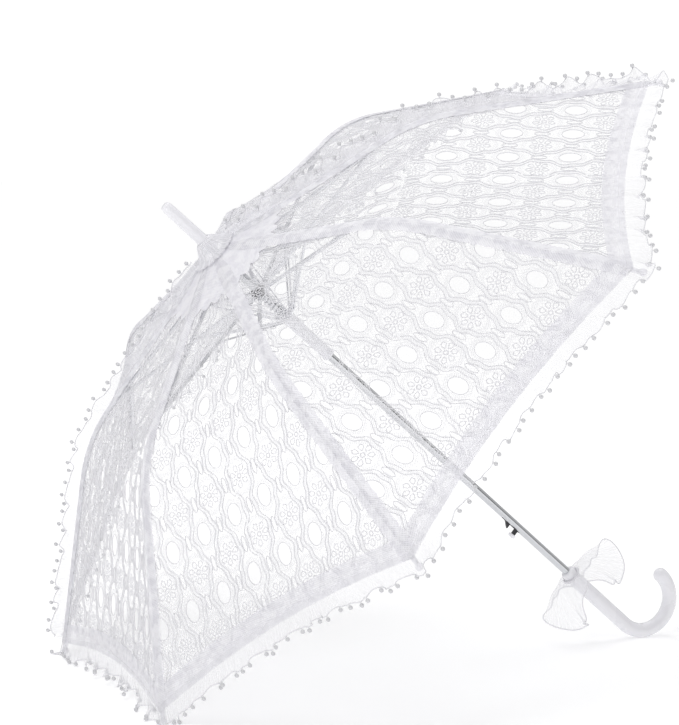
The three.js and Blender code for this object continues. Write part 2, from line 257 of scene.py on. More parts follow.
class Finish:
    def __init__(self, name, color, roughness, metallic=0.0, **constants):
        self.material = bpy.data.materials.new(name)
        self.material.use_nodes = True
        self.tree = self.material.node_tree
        self.shader = self.tree.nodes["Principled BSDF"]
        self.set("Base Color", (*color, 1))
        self.set("Roughness", roughness)
        self.set("Metallic", metallic)
        for key, value in constants.items():
            self.set(key, value)

    def set(self, socket, value):
        if isinstance(value, Term):
            self.tree.links.new(value.socket, self.shader.inputs[socket])
        else:
            self.shader.inputs[socket].default_value = value

    def term(self, kind, settings=None, inputs=(), output=0):
        return Term(self.tree, None).node(kind, settings, inputs, output)

    # the two cloth directions, in metres
    def cloth(self):
        uv = self.term("ShaderNodeUVMap", {"uv_map": "cloth"})
        parts = self.term("ShaderNodeSeparateXYZ", None, [uv])
        return parts, Term(self.tree, parts.socket.node.outputs[1])

    def noise(self, scale, detail=3.0, where="Object"):
        coordinates = self.term("ShaderNodeTexCoord")
        source = Term(self.tree, coordinates.socket.node.outputs[where])
        return self.term("ShaderNodeTexNoise", None, {"Vector": source, "Scale": scale, "Detail": detail})

    def between(self, share, first, second):
        mix = self.tree.nodes.new("ShaderNodeMix")
        mix.data_type = "RGBA"
        self.tree.links.new(share.socket, mix.inputs["Factor"])
        mix.inputs[6].default_value = (*first, 1)
        mix.inputs[7].default_value = (*second, 1)
        return Term(self.tree, mix.outputs[2])

    def bump(self, height, strength, distance):
        return self.term("ShaderNodeBump", None,
                         {"Height": height, "Strength": strength, "Distance": distance})


laceWork = {
    "cordGap": 0.0185,    # from one wavy braid to the next, across the gore
    "repeat": 0.058,      # the pattern repeats this far down the gore
    "wave": 0.0042,       # a braid waves this far to each side
    "braid": 0.0019,      # half the braid's width
    "net": 0.0031,        # mesh of the ground net
    "ripple": (0.0012, 0.0193, 2.1),   # small uneven wave: reach, length and step between braids
    "thread": 0.00042,    # radius of the braid's edge cords
    "opening": (0.0076, 0.0115),
    "flower": 0.0112,
}


# fine net, with the braids' cross threads and clear oval openings
def laceMaterial():
    finish = Finish("lace", (0.8, 0.795, 0.835), 0.85, **{"Sheen Weight": 0.15})
    u, v = finish.cloth()
    net, cordGap, repeat = laceWork["net"], laceWork["cordGap"], laceWork["repeat"]
    bent = u + (v * (2 * math.pi / 0.0093)).sine() * 0.0005
    one = ((bent + v * 0.55) / net).fraction() - 0.5
    two = ((bent - v * 0.7) / net).fraction() - 0.5
    threads = (one.absolute() * 2).most(two.absolute() * 2).ramp(0.58, 0.88)
    cord = (u / cordGap).rounding()
    ripple, rippleLength, rippleStep = laceWork["ripple"]
    phase = (v * (2 * math.pi / repeat) + cord * math.pi).sine()
    swing = phase * laceWork["wave"] + (v * (2 * math.pi / rippleLength) + cord * rippleStep).sine() * ripple
    offset = (u - cord * cordGap - swing).absolute()
    braid = 1 - offset.ramp(laceWork["braid"] * 0.95, laceWork["braid"] * 1.15)
    rungs = ((v + u * 0.5) * (2 * math.pi / 0.0021)).sine().ramp(-0.5, 0.6) * 0.5 + 0.32
    feather = (1 - offset.ramp(laceWork["braid"] * 1.7, laceWork["braid"] * 2.1)) * phase.absolute().ramp(0.7, 0.85)
    column = (u / cordGap).math("FLOOR")
    sideStep = (u / cordGap).fraction() - 0.5
    downStep = (v / repeat + column * 0.5 - 0.25).fraction() - 0.5
    reach = ((sideStep * (cordGap / laceWork["opening"][0])).math("POWER", 2.0)
             + (downStep * (repeat / laceWork["opening"][1])).math("POWER", 2.0))
    isOpening = (column * 0.5).fraction().ramp(0.2, 0.3)
    clear = (1 - reach.ramp(0.8, 0.98)) * isOpening
    ring = (1 - (reach - 1.45).absolute().ramp(0.3, 0.5)) * isOpening
    leaf = (1 - (reach - 2.1).absolute().ramp(0.5, 0.75)) * (1 - isOpening)
    ground = (threads * 0.42 + 0.07) * (1 - clear) + clear * 0.16
    alpha = ground.most(braid * rungs).most(leaf.most(feather).most(ring) * rungs * 0.9)
    finish.set("Alpha", alpha)
    finish.set("Base Color", finish.between(finish.noise(9.0), (0.79, 0.785, 0.815), (0.84, 0.84, 0.86)))
    finish.set("Normal", finish.bump(threads.most(braid * rungs), 0.5, 0.0003))
    return finish.material


# doubled lace on the hem, the crown and over the ribs
def denseLaceMaterial(name, cover):
    finish = Finish(name, (0.78, 0.77, 0.82), 0.85, **{"Sheen Weight": 0.15})
    u, v = finish.cloth()
    one = ((u + v * 0.8) / 0.0019).fraction() - 0.5
    two = ((u - v * 1.1) / 0.0023).fraction() - 0.5
    threads = (one.absolute() * 2).most(two.absolute() * 2).ramp(0.3, 0.8)
    blotch = finish.noise(110.0, 2.0).ramp(0.4, 0.62)
    finish.set("Alpha", (threads * 0.24 + cover + blotch * 0.14).least(0.98))
    finish.set("Base Color", finish.between(blotch, (0.82, 0.812, 0.862), (0.87, 0.865, 0.9)))
    finish.set("Normal", finish.bump(threads + blotch, 0.5, 0.0004))
    return finish.material


# sheer cloth of the ruffle and frill, with fine threads along its folds
def organzaMaterial(name, sheerness, tint=(0.87, 0.865, 0.9)):
    finish = Finish(name, tint, 0.45, **{"Sheen Weight": 0.6, "Sheen Roughness": 0.4})
    u, v = finish.cloth()
    streak = finish.term("ShaderNodeTexNoise", {"noise_dimensions": "1D"},
                         {"W": u * 900.0, "Detail": 2.0, "Scale": 1.0})
    weave = ((u * (2 * math.pi / 0.0007)).sine() * (v * (2 * math.pi / 0.0007)).sine()) * 0.5 + 0.5
    finish.set("Alpha", (streak * 0.35 + weave * 0.2 + sheerness).least(0.96))
    finish.set("Normal", finish.bump(streak, 0.35, 0.0006))
    return finish.material


def plainThreadMaterial():
    finish = Finish("thread", (0.78, 0.775, 0.805), 0.7, **{"Sheen Weight": 0.1})
    finish.set("Normal", finish.bump(finish.noise(2500.0, 1.0), 0.3, 0.0002))
    return finish.material


def pearlMaterial():
    finish = Finish("bead", (0.86, 0.86, 0.89), 0.32, **{"Coat Weight": 0.4, "Coat Roughness": 0.2})
    finish.set("Base Color", finish.between(finish.noise(60.0), (0.6, 0.6, 0.62), (0.7, 0.7, 0.72)))
    return finish.material


def glossWhiteMaterial():
    finish = Finish("glossWhite", (0.87, 0.87, 0.89), 0.26, **{"Coat Weight": 0.35, "Coat Roughness": 0.12})
    cloud = finish.noise(38.0, 4.0)
    finish.set("Roughness", cloud * 0.14 + 0.2)
    finish.set("Base Color", finish.between(cloud, (0.85, 0.845, 0.885), (0.89, 0.885, 0.91)))
    finish.set("Normal", finish.bump(finish.noise(420.0, 2.0), 0.05, 0.0004))
    return finish.material


def blackMaterial():
    finish = Finish("blackPlastic", (0.028, 0.028, 0.032), 0.42)
    cloud = finish.noise(300.0, 2.0)
    finish.set("Roughness", cloud * 0.25 + 0.3)
    finish.set("Normal", finish.bump(cloud, 0.15, 0.0003))
    return finish.material


def metalMaterial(name, color, roughness, grain):
    finish = Finish(name, color, roughness, 1.0)
    coordinates = finish.term("ShaderNodeTexCoord")
    source = Term(finish.tree, coordinates.socket.node.outputs["Object"])
    stretch = finish.term("ShaderNodeMapping", None, {"Vector": source, "Rotation": stickTurn(),
                                                      "Scale": (1.0, 1.0, 0.03)})
    drawn = finish.term("ShaderNodeTexNoise", None, {"Vector": stretch, "Scale": grain, "Detail": 3.0})
    finish.set("Roughness", drawn * 0.18 + (roughness - 0.09))
    finish.set("Normal", finish.bump(drawn, 0.06, 0.0002))
    return finish.material


# the turn that brings the stick upright, for patterns drawn along it
def stickTurn():
    basis = Matrix((upward, sideways, stick))
    return tuple(basis.to_euler())


lace = laceMaterial()
bandLace = denseLaceMaterial("bandLace", 0.58)
hemLace = denseLaceMaterial("hemLace", 0.46)
crownCloth = denseLaceMaterial("crownCloth", 0.76)
ruffleCloth = organzaMaterial("ruffleOrganza", 0.06)
frillCloth = organzaMaterial("frillOrganza", 0.04)
gatherCloth = organzaMaterial("gatherOrganza", 0.4)
thread = plainThreadMaterial()
pearl = pearlMaterial()
glossWhite = glossWhiteMaterial()
blackPlastic = blackMaterial()
chrome = metalMaterial("chrome", (0.64, 0.65, 0.67), 0.13, 300.0)
steel = metalMaterial("steel", (0.78, 0.785, 0.81), 0.36, 500.0)
print("materials made")


# ---- geometry node helpers ----

class Nodes:
    def __init__(self, name, sizes):
        self.tree = bpy.data.node_groups.new(name, "GeometryNodeTree")
        self.tree.interface.new_socket("Geometry", in_out="INPUT", socket_type="NodeSocketGeometry")
        self.sockets = {}
        for key, value in sizes.items():
            kind = "NodeSocketInt" if isinstance(value, int) else "NodeSocketFloat"
            socket = self.tree.interface.new_socket(key, in_out="INPUT", socket_type=kind)
            self.sockets[key] = (socket.identifier, value)
        self.tree.interface.new_socket("Geometry", in_out="OUTPUT", socket_type="NodeSocketGeometry")
        self.source = self.tree.nodes.new("NodeGroupInput")
        self.result = self.tree.nodes.new("NodeGroupOutput")

    def add(self, kind, inputs=None, **settings):
        node = self.tree.nodes.new(kind)
        for key, value in settings.items():
            setattr(node, key, value)
        for key, value in (inputs or {}).items():
            if isinstance(value, bpy.types.NodeSocket):
                self.tree.links.new(value, node.inputs[key])
            else:
                node.inputs[key].default_value = value
        return node

    # ends the tree in real meshes with this material
    def end(self, geometry, material):
        real = self.add("GeometryNodeRealizeInstances", {"Geometry": geometry})
        painted = self.add("GeometryNodeSetMaterial", {"Geometry": real.outputs[0], "Material": material})
        self.tree.links.new(painted.outputs[0], self.result.inputs[0])

    # runs the tree on a piece and leaves a plain mesh of the given name in its place
    def run(self, name, base, smooth=True):
        modifier = base.modifiers.new("nodes", "NODES")
        modifier.node_group = self.tree
        for identifier, value in self.sockets.values():
            modifier[identifier] = value
        bpy.context.view_layer.update()
        shown = base.evaluated_get(bpy.context.evaluated_depsgraph_get())
        mesh = bpy.data.meshes.new_from_object(shown)
        mesh.name = name
        made = bpy.data.objects.new(name, mesh)
        bpy.context.scene.collection.objects.link(made)
        bpy.data.objects.remove(base)
        if smooth:
            mesh.polygons.foreach_set("use_smooth", [True] * len(mesh.polygons))
        return made


# lines of edges become round threads
def threadTree(radius, material, sides=5):
    nodes = Nodes("threadLines", {"Radius": radius, "Sides": sides})
    lines = nodes.add("GeometryNodeMeshToCurve", {"Mesh": nodes.source.outputs["Geometry"]})
    section = nodes.add("GeometryNodeCurvePrimitiveCircle",
                        {"Radius": nodes.source.outputs["Radius"], "Resolution": nodes.source.outputs["Sides"]})
    tubes = nodes.add("GeometryNodeCurveToMesh", {"Curve": lines.outputs[0],
                                                  "Profile Curve": section.outputs[0], "Fill Caps": True})
    nodes.end(tubes.outputs[0], material)
    return nodes


# a small shape on every point, turned by the points' own "turn"
def scatterTree(shape, material, size=1.0):
    nodes = Nodes("scatter", {"Size": size})
    piece = nodes.add("GeometryNodeObjectInfo", {"Object": shape})
    turn = nodes.add("GeometryNodeInputNamedAttribute", {"Name": "turn"}, data_type="FLOAT_VECTOR")
    put = nodes.add("GeometryNodeInstanceOnPoints", {
        "Points": nodes.source.outputs["Geometry"], "Instance": piece.outputs["Geometry"],
        "Rotation": turn.outputs["Attribute"], "Scale": nodes.source.outputs["Size"]})
    nodes.end(put.outputs[0], material)
    return nodes


# points with the turn that sets a flat shape on the surface there
def pointCloud(name, points, normals, tangents):
    base = meshObject(name, points, [])
    turns = []
    for normal, tangent in zip(normals, tangents):
        normal = Vector(normal).normalized()
        tangent = Vector(tangent)
        tangent = (tangent - normal * tangent.dot(normal)).normalized()
        turns.append(tuple(Matrix((tangent, normal.cross(tangent), normal)).transposed().to_euler()))
    attribute = base.data.attributes.new("turn", "FLOAT_VECTOR", "POINT")
    attribute.data.foreach_set("vector", np.array(turns, np.float32).ravel())
    return base


# ---- the cloth's surface ----

canopy = {
    "gatherRadius": 0.010,
    "gatherHeight": 0.1896,
    "landing": 0.172,          # the cloth comes down onto the rib here
    "clothLift": 0.0023,       # cloth over the middle of the rib
    "hemBack": 0.005,          # the hem stops this far short of the tip
    "scallop": 0.0155,          # the hem curves in between two tips
    "sag": 0.007,              # the gore's middle lies in from the chord between its ribs
}


def ribHeight(radius):
    pivotRadius, pivotHeight = parasol["ribPivot"]
    slope = (pivotHeight - parasol["jointHeight"]) / (parasol["jointRadius"] - pivotRadius)
    start, end, outer = parasol["bendStart"], parasol["bendEnd"], parasol["outerSlope"]
    inner = math.atan(slope)
    radius = np.asarray(radius, float)
    height = pivotHeight - (np.minimum(radius, start) - pivotRadius) * slope
    share = np.clip((radius - start) / (end - start), 0, 1)
    turn = outer - inner
    bent = inner + turn * share
    height = height + (end - start) / turn * (np.log(np.cos(bent)) - math.log(math.cos(inner)))
    return height - np.maximum(radius - end, 0) * math.tan(outer)


def ribSlope(radius):
    pivotRadius, pivotHeight = parasol["ribPivot"]
    inner = math.atan2(pivotHeight - parasol["jointHeight"], parasol["jointRadius"] - pivotRadius)
    share = np.clip((radius - parasol["bendStart"]) / (parasol["bendEnd"] - parasol["bendStart"]), 0, 1)
    return inner + (parasol["outerSlope"] - inner) * share


# the seam over a rib, tabled by its length from the gather
def seamTable():
    radius = np.linspace(canopy["gatherRadius"], parasol["tipRadius"] - canopy["hemBack"], 600)
    onRib = ribHeight(radius) + canopy["clothLift"] / np.cos(ribSlope(radius))
    landing = canopy["landing"]
    rest = float(ribHeight(landing)) + canopy["clothLift"]
    share = (radius - canopy["gatherRadius"]) / (landing - canopy["gatherRadius"])
    hanging = canopy["gatherHeight"] + (rest - canopy["gatherHeight"]) * share
    height = np.where(radius < landing, hanging, onRib)
    length = np.concatenate([[0], np.cumsum(np.hypot(np.diff(radius), np.diff(height)))])
    return length, radius, height


seamLength, seamRadius, seamHeight = seamTable()
clothLength = seamLength[-1]
flexLength = float(np.interp(np.linalg.norm(np.cross(
    np.array(joints["rib_1_flex"]["pos_m"]) - middle, stick)), seamRadius, seamLength))
halfSector = sector / 2


# how far down the gore the hem lies; side runs from -1 at one rib to 1 at the next
def hemLength(side):
    return clothLength - canopy["scallop"] * (1 - np.asarray(side) ** 2)


# a point of the gore after this rib; down is the length from the gather, lift stands off the cloth
def gorePoint(gore, side, down, lift=0.0):
    side, down, lift = np.broadcast_arrays(np.asarray(side, float), down, lift)
    radius = np.interp(down, seamLength, seamRadius)
    height = np.interp(down, seamLength, seamHeight)
    past = np.maximum(down - clothLength, 0)
    slope = ribSlope(radius)
    radius = radius + past * np.cos(parasol["outerSlope"])
    height = height - past * np.sin(parasol["outerSlope"])
    sag = canopy["sag"] * np.sin(np.clip(down / clothLength, 0, 1) * math.pi * 0.72) * (1 - side ** 2)
    stand = lift - sag
    outward = radius * math.cos(halfSector) + stand * np.sin(slope)
    height = height + stand * np.cos(slope)
    lateral = radius * math.sin(halfSector) * side
    angle = ribAngle(gore) + halfSector
    out = upward * math.cos(angle) + sideways * math.sin(angle)
    across = -upward * math.sin(angle) + sideways * math.cos(angle)
    return (middle + np.multiply.outer(outward, out) + np.multiply.outer(lateral, across)
            + np.multiply.outer(height, stick))


def goreWidth(down):
    return 2 * np.interp(down, seamLength, seamRadius) * math.sin(halfSector)


# the cloth's outward normal and its direction across, at points of a gore
def goreFrame(gore, side, down):
    small = 1e-4
    here = gorePoint(gore, side, down)
    across = gorePoint(gore, np.asarray(side) + small, down) - here
    along = gorePoint(gore, side, np.asarray(down) + small) - here
    return unit(np.cross(across, along)) * normalSign, unit(across)


normalSign = 1.0
testNormal = goreFrame(0, 0.0, 0.2)[0]
testOut = place(1.0, ribAngle(0) + halfSector, 1.0) - middle
normalSign = 1.0 if np.dot(testNormal, testOut) > 0 else -1.0


# a sector is the cloth on both sides of one rib: swing -1 and 1 are the middles of its two gores
def sectorPoint(rib, swing, down, lift=0.0):
    swing, down, lift = np.broadcast_arrays(np.asarray(swing, float), down, lift)
    before = gorePoint(rib - 1, 1 + swing, down, lift)
    after = gorePoint(rib, swing - 1, down, lift)
    return np.where((swing < 0)[..., None], before, after)


def sectorSide(swing):
    return np.where(np.asarray(swing) < 0, 1 + np.asarray(swing), np.asarray(swing) - 1)


ribNames = [str(rib + 1) for rib in range(parasol["ribs"])]


# everything on the cloth flattens towards its rib as the parasol folds
def foldWith(piece, rib, outer):
    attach(piece, f"rib_{ribNames[rib]}_tip" if outer else f"rib_{ribNames[rib]}")
    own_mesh(piece)
    return piece


# a strip of cloth over a grid of swing and down values
def sectorSheet(name, rib, swings, downs, material, lift=0.0):
    grid = sectorPoint(rib, swings, downs, lift)
    side = sectorSide(swings)
    across = side * goreWidth(downs) / 2
    apart = 22 * laceWork["cordGap"] * np.where(np.asarray(swings) < 0, 0, 1)
    uv = np.stack([across + apart, downs + 0 * across], -1)
    rows, columns = grid.shape[:2]
    return meshObject(name, grid.reshape(-1, 3), gridFaces(rows, columns), [material], uv.reshape(-1, 2))


def laceSheets():
    columns = np.concatenate([np.linspace(-1, -1e-6, 13), np.linspace(0, 1, 13)])
    for rib in range(parasol["ribs"]):
        for outer in (False, True):
            half = "outer" if outer else "inner"
            swings, share = np.meshgrid(columns, np.linspace(0, 1, 34 if outer else 26))
            end = hemLength(sectorSide(swings)) if outer else flexLength
            start = flexLength if outer else 0.0
            downs = start + (end - start) * share
            sheet = sectorSheet(f"lace_{ribNames[rib]}_{half}", rib, swings, downs, lace)
            tidyMesh(sheet, 1e-7)
            foldWith(sheet, rib, outer)
            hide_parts(f"canopy_{ribNames[rib]}_{half}")


laceSheets()
print("lace made")


# keeps the stretches of a line that lie on this half of the gore, between start and its hem
def clipToHalf(u, v, right, start, hemMargin):
    side = u / (goreWidth(v) / 2)
    inside = (v >= start[0] - 1e-9) & (side >= 0 if right else side <= 0) & (np.abs(side) <= 0.985)
    if start[1] is not None:
        inside &= v <= start[1] + 1e-9
    else:
        inside &= v <= hemLength(side) - hemMargin
    runs, current = [], []
    for index, keep in enumerate(inside):
        if keep:
            current.append(index)
        elif current:
            runs.append(current)
            current = []
    if current:
        runs.append(current)
    return [(side[run], v[run]) for run in runs if len(run) > 1]


# the lace's lines over the flat gore: both threads of each braid, and rings round the openings
def laceLines():
    cordGap, repeat = laceWork["cordGap"], laceWork["repeat"]
    lines = []
    v = np.arange(0, clothLength + 0.001, 0.0022)
    for cord in range(-10, 11):
        ripple, rippleLength, rippleStep = laceWork["ripple"]
        swing = (laceWork["wave"] * np.sin(2 * math.pi * v / repeat + cord * math.pi)
                 + ripple * np.sin(2 * math.pi * v / rippleLength + cord * rippleStep))
        for edge in (-1, 1):
            lines.append((cord * cordGap + swing + edge * laceWork["braid"], v))
    turn = np.linspace(0, 2 * math.pi, 23)
    for column, centreV in laceCells(odd=True):
        for scale in (0.93,):
            lines.append(((column + 0.5) * cordGap + laceWork["opening"][0] * scale * np.cos(turn),
                          centreV + laceWork["opening"][1] * scale * np.sin(turn)))
    for column, centreV in laceCells(odd=True) + laceCells(odd=False):
        lines.append(((column + 0.5) * cordGap + 0.0024 * np.cos(turn),
                      centreV + repeat / 2 + 0.0075 * np.sin(turn)))
    return lines


# the wide places between two braids; every other column holds openings, the rest flowers
def laceCells(odd):
    repeat = laceWork["repeat"]
    cells = []
    for column in range(-10, 10):
        if (column % 2 == 1) != odd:
            continue
        first = repeat * (0.75 - column * 0.5) % repeat
        cells += [(column, first + repeat * step) for step in range(int(clothLength / repeat) + 1)]
    return cells


def sectorRange(outer):
    return (flexLength, None) if outer else (0.014, flexLength)


def laceThreads():
    tree = threadTree(laceWork["thread"], thread, sides=4)
    lines = laceLines()
    for rib in range(parasol["ribs"]):
        for outer in (False, True):
            points, edges = [], []
            for gore, right in ((rib - 1, True), (rib, False)):
                for u, v in lines:
                    for side, down in clipToHalf(u, v, right, sectorRange(outer), 0.012):
                        run = gorePoint(gore, side, down, 0.0002)
                        edges += [(len(points) + step, len(points) + step + 1) for step in range(len(run) - 1)]
                        points += list(run)
            half = "outer" if outer else "inner"
            name = f"laceCords_{ribNames[rib]}_{half}"
            cords = tree.run(name, meshObject(name + "Lines", points, [], edges=edges))
            foldWith(cords, rib, outer)


# one flower of the lace: corded petals round a small ring
def flowerShape():
    points, faces = [], []
    size, petals = laceWork["flower"], 7
    outline = np.array([(0.3, 0.0), (0.5, 0.17), (0.78, 0.25), (1.0, 0.0), (0.78, -0.25), (0.5, -0.17)])
    centre = np.array([0.66, 0.0])
    for petal in range(petals):
        angle = petal / petals * 2 * math.pi
        turn = np.array([[math.cos(angle), -math.sin(angle)], [math.sin(angle), math.cos(angle)]])
        start = len(points)
        for scale, lift in ((1.0, 0.0), (0.86, 0.05), (0.7, 0.0)):
            ring = ((outline - centre) * scale + centre) @ turn.T * size
            points += [(x, y, lift * size) for x, y in ring]
        faces += [tuple(face) for face in gridFaces(3, len(outline), closeRows=True, closeColumns=True, start=start)]
    ringStart, sides = len(points), 10
    for radius, lift in ((0.24, 0.0), (0.19, 0.05), (0.13, 0.0)):
        for step in range(sides):
            angle = step / sides * 2 * math.pi
            points.append((radius * size * math.cos(angle), radius * size * math.sin(angle), lift * size))
    faces += [tuple(face) for face in gridFaces(3, sides, closeRows=True, closeColumns=True, start=ringStart)]
    shape = meshObject("flowerShape", points, faces, [thread], smooth=False)
    tidyMesh(shape)
    return shape


def laceFlowers():
    shape = flowerShape()
    tree = scatterTree(shape, thread)
    for rib in range(parasol["ribs"]):
        for outer in (False, True):
            points, normals, tangents = [], [], []
            low, high = sectorRange(outer)
            for gore, right in ((rib - 1, True), (rib, False)):
                for column, centreV in laceCells(odd=False):
                    u = (column + 0.5) * laceWork["cordGap"]
                    side = u / (float(goreWidth(centreV)) / 2)
                    limit = float(hemLength(side)) - 0.016 if high is None else high
                    room = 1 - 0.006 / max(float(goreWidth(centreV)) / 2, 1e-6)
                    if not (low <= centreV < limit) or (side >= 0) != right or abs(side) > room:
                        continue
                    normal, across = goreFrame(gore, side, centreV)
                    points.append(gorePoint(gore, side, centreV, 0.0003))
                    normals.append(normal)
                    tangents.append(across)
            half = "outer" if outer else "inner"
            name = f"laceFlowers_{ribNames[rib]}_{half}"
            flowers = tree.run(name, pointCloud(name + "Points", points, normals, tangents), smooth=False)
            foldWith(flowers, rib, outer)
    bpy.data.objects.remove(shape)


laceThreads()
laceFlowers()
print("lace threads and flowers made")


# ---- hem, ruffle and beads ----

ruffle = {
    "depth": 0.0165,       # the ruffle stands about this far beyond the hem
    "tuck": 0.006,         # and is sewn this far up
    "folds": 9,            # folds in one gore
    "wave": 0.0066,
    "beadRadius": 0.0021,
    "beadGap": 0.0112,
    "beadDrop": 0.0034,    # a bead hangs this far off the edge
}

# each strip of doubled lace along the hem, from and to these distances above its edge
hemStrips = {"hem": (0.0103, 0.0), "hemFold": (0.0208, 0.0105)}


def hemBands():
    columns = np.concatenate([np.linspace(-1, -1e-6, 17), np.linspace(0, 1, 17)])
    for rib in range(parasol["ribs"]):
        swings, share = np.meshgrid(columns, np.linspace(0, 1, 5))
        end = hemLength(sectorSide(swings))
        for strip, (high, low) in hemStrips.items():
            downs = end - high + (high - low) * share
            band = sectorSheet(f"{strip}_{ribNames[rib]}", rib, swings, downs, hemLace, lift=0.0009)
            tidyMesh(band, 1e-7)
            foldWith(band, rib, True)


# a second layer of lace round the crown, with a scalloped edge
crownLace = {"start": 0.0035, "reach": 0.062, "scallop": 0.006}


def crownSheets():
    columns = np.concatenate([np.linspace(-1, -1e-6, 15), np.linspace(0, 1, 15)])
    for rib in range(parasol["ribs"]):
        swings, share = np.meshgrid(columns, np.linspace(0, 1, 14))
        edge = crownLace["reach"] + crownLace["scallop"] * np.abs(np.sin(swings * math.pi * 2))
        downs = crownLace["start"] + (edge - crownLace["start"]) * share
        cover = sectorSheet(f"crownLace_{ribNames[rib]}", rib, swings, downs, crownCloth, lift=0.0011)
        tidyMesh(cover, 1e-7)
        foldWith(cover, rib, False)


# the ruffle's surface: around counts gores from rib 1, share runs from the stitching to the edge
def rufflePoint(around, share, extra=0.0):
    around, share = np.broadcast_arrays(np.asarray(around, float), share)
    gore = np.floor(around).astype(int)
    side = (around - gore) * 2 - 1
    turns = around * 2 * math.pi
    wobble = (np.sin(turns * 3 + 0.7) + 0.8 * np.sin(turns * 5 - 1.1) + 0.6 * np.sin(turns * 0.875 + 2.0))
    fold = turns * ruffle["folds"] + 1.3 * wobble
    swell = 0.72 + 0.28 * np.sin(turns * 2.0 + 0.4) * np.sin(turns * 1.125)
    fan = share ** 1.3
    out = ruffle["wave"] * swell * fan * np.sin(fold)
    out = out + 0.0018 * fan * np.sin(turns * ruffle["folds"] * 2.4 + wobble)
    slip = 0.32 * fan / (ruffle["folds"] * 2 * math.pi) * np.sin(2 * fold)
    depth = (ruffle["depth"] + ruffle["tuck"]) * (1 + fan * (0.17 * np.sin(fold + 0.8) * swell - 0.04))
    down = hemLength(side) - ruffle["tuck"] + depth * share + extra
    result = np.zeros(around.shape + (3,))
    for number in np.unique(gore):
        chosen = gore == number
        result[chosen] = gorePoint(int(number), side[chosen] + 2 * slip[chosen], down[chosen],
                                   0.0016 + out[chosen])
    return layOnFloor(result)


# cloth that would reach under the floor lies on it, pushed outwards
def layOnFloor(points, clearance=0.0008):
    under = np.maximum(clearance - points[..., 2], 0)
    outward = points[..., :2] - middle[:2]
    outward = outward / np.maximum(np.linalg.norm(outward, axis=-1, keepdims=True), 1e-9)
    points = points.copy()
    points[..., :2] += outward * under[..., None] * 0.6
    points[..., 2] += under
    return points


def ruffles():
    beadPattern = beadShape()
    beadTree = scatterTree(beadPattern, pearl)
    rolled = threadTree(0.00045, thread, sides=5)
    loops = threadTree(0.0003, thread, sides=4)
    for rib in range(parasol["ribs"]):
        start = rib - 0.5
        around, share = np.meshgrid(np.linspace(start, start + 1, 150), np.linspace(0, 1, 9))
        around = np.clip(around, start, start + 1)
        grid = rufflePoint(around, share)
        gathered = 1.7 * 0.304
        uv = np.stack([around * gathered, share * (ruffle["depth"] + ruffle["tuck"])], -1)
        name = f"ruffle_{ribNames[rib]}"
        cloth = meshObject(name, grid.reshape(-1, 3), gridFaces(9, 150), [ruffleCloth], uv.reshape(-1, 2))
        tidyMesh(cloth, 1e-7)
        foldWith(cloth, rib, True)

        edgeAround = np.linspace(start, start + 1, 150)
        edge = rufflePoint(edgeAround, 1.0)
        lines = [(index, index + 1) for index in range(len(edge) - 1)]
        roll = rolled.run(f"ruffleEdge_{ribNames[rib]}", meshObject("edgeLine", edge, [], edges=lines))
        foldWith(roll, rib, True)

        beads = int(round(0.30 / ruffle["beadGap"]))
        beadAround = start + (np.arange(beads) + 0.5) / beads
        root = rufflePoint(beadAround, 1.0)
        spot = rufflePoint(beadAround, 1.0, ruffle["beadDrop"])
        spot[:, 2] = np.maximum(spot[:, 2], ruffle["beadRadius"] + 0.0003)
        loopPoints = [point for pair in zip(root, spot) for point in pair]
        loop = loops.run(f"beadLoops_{ribNames[rib]}", meshObject(
            "loopLines", loopPoints, [], edges=[(2 * bead, 2 * bead + 1) for bead in range(beads)]))
        foldWith(loop, rib, True)
        cloud = pointCloud("beadPoints", spot, [upward] * beads, [sideways] * beads)
        string = beadTree.run(f"beads_{ribNames[rib]}", cloud)
        foldWith(string, rib, True)
    bpy.data.objects.remove(beadPattern)


# the beaded trim also climbs two ribs that face each other and meets at the crown
ribTrim = {"ribs": (3, 7), "depth": 0.0102, "wave": 0.0048, "pitch": 0.029, "start": 0.012, "beadGap": 0.0105}


# a point of the trim, standing off the cloth over a rib
def trimPoint(rib, down, share, extra=0.0):
    down, share = np.broadcast_arrays(np.asarray(down, float), share)
    turn = down * 2 * math.pi / ribTrim["pitch"]
    wobble = 1.1 * np.sin(turn * 0.37 + rib) + 0.7 * np.sin(turn * 0.61 + 1.0)
    reach = share * ribTrim["depth"] * (1 + 0.28 * np.sin(turn + wobble + 0.5)) + extra
    aside = ribTrim["wave"] * share ** 1.3 * np.sin(turn + wobble) + 0.0016 * share * np.sin(turn * 2.3)
    angle = ribAngle(rib)
    out = upward * math.cos(angle) + sideways * math.sin(angle)
    across = np.cross(stick, out)
    slope = ribSlope(np.interp(down, seamLength, seamRadius))
    normal = np.multiply.outer(np.sin(slope), out) + np.multiply.outer(np.cos(slope), stick)
    return (sectorPoint(rib, np.zeros(down.shape), down, 0.0016) + normal * reach[..., None]
            + across * aside[..., None])


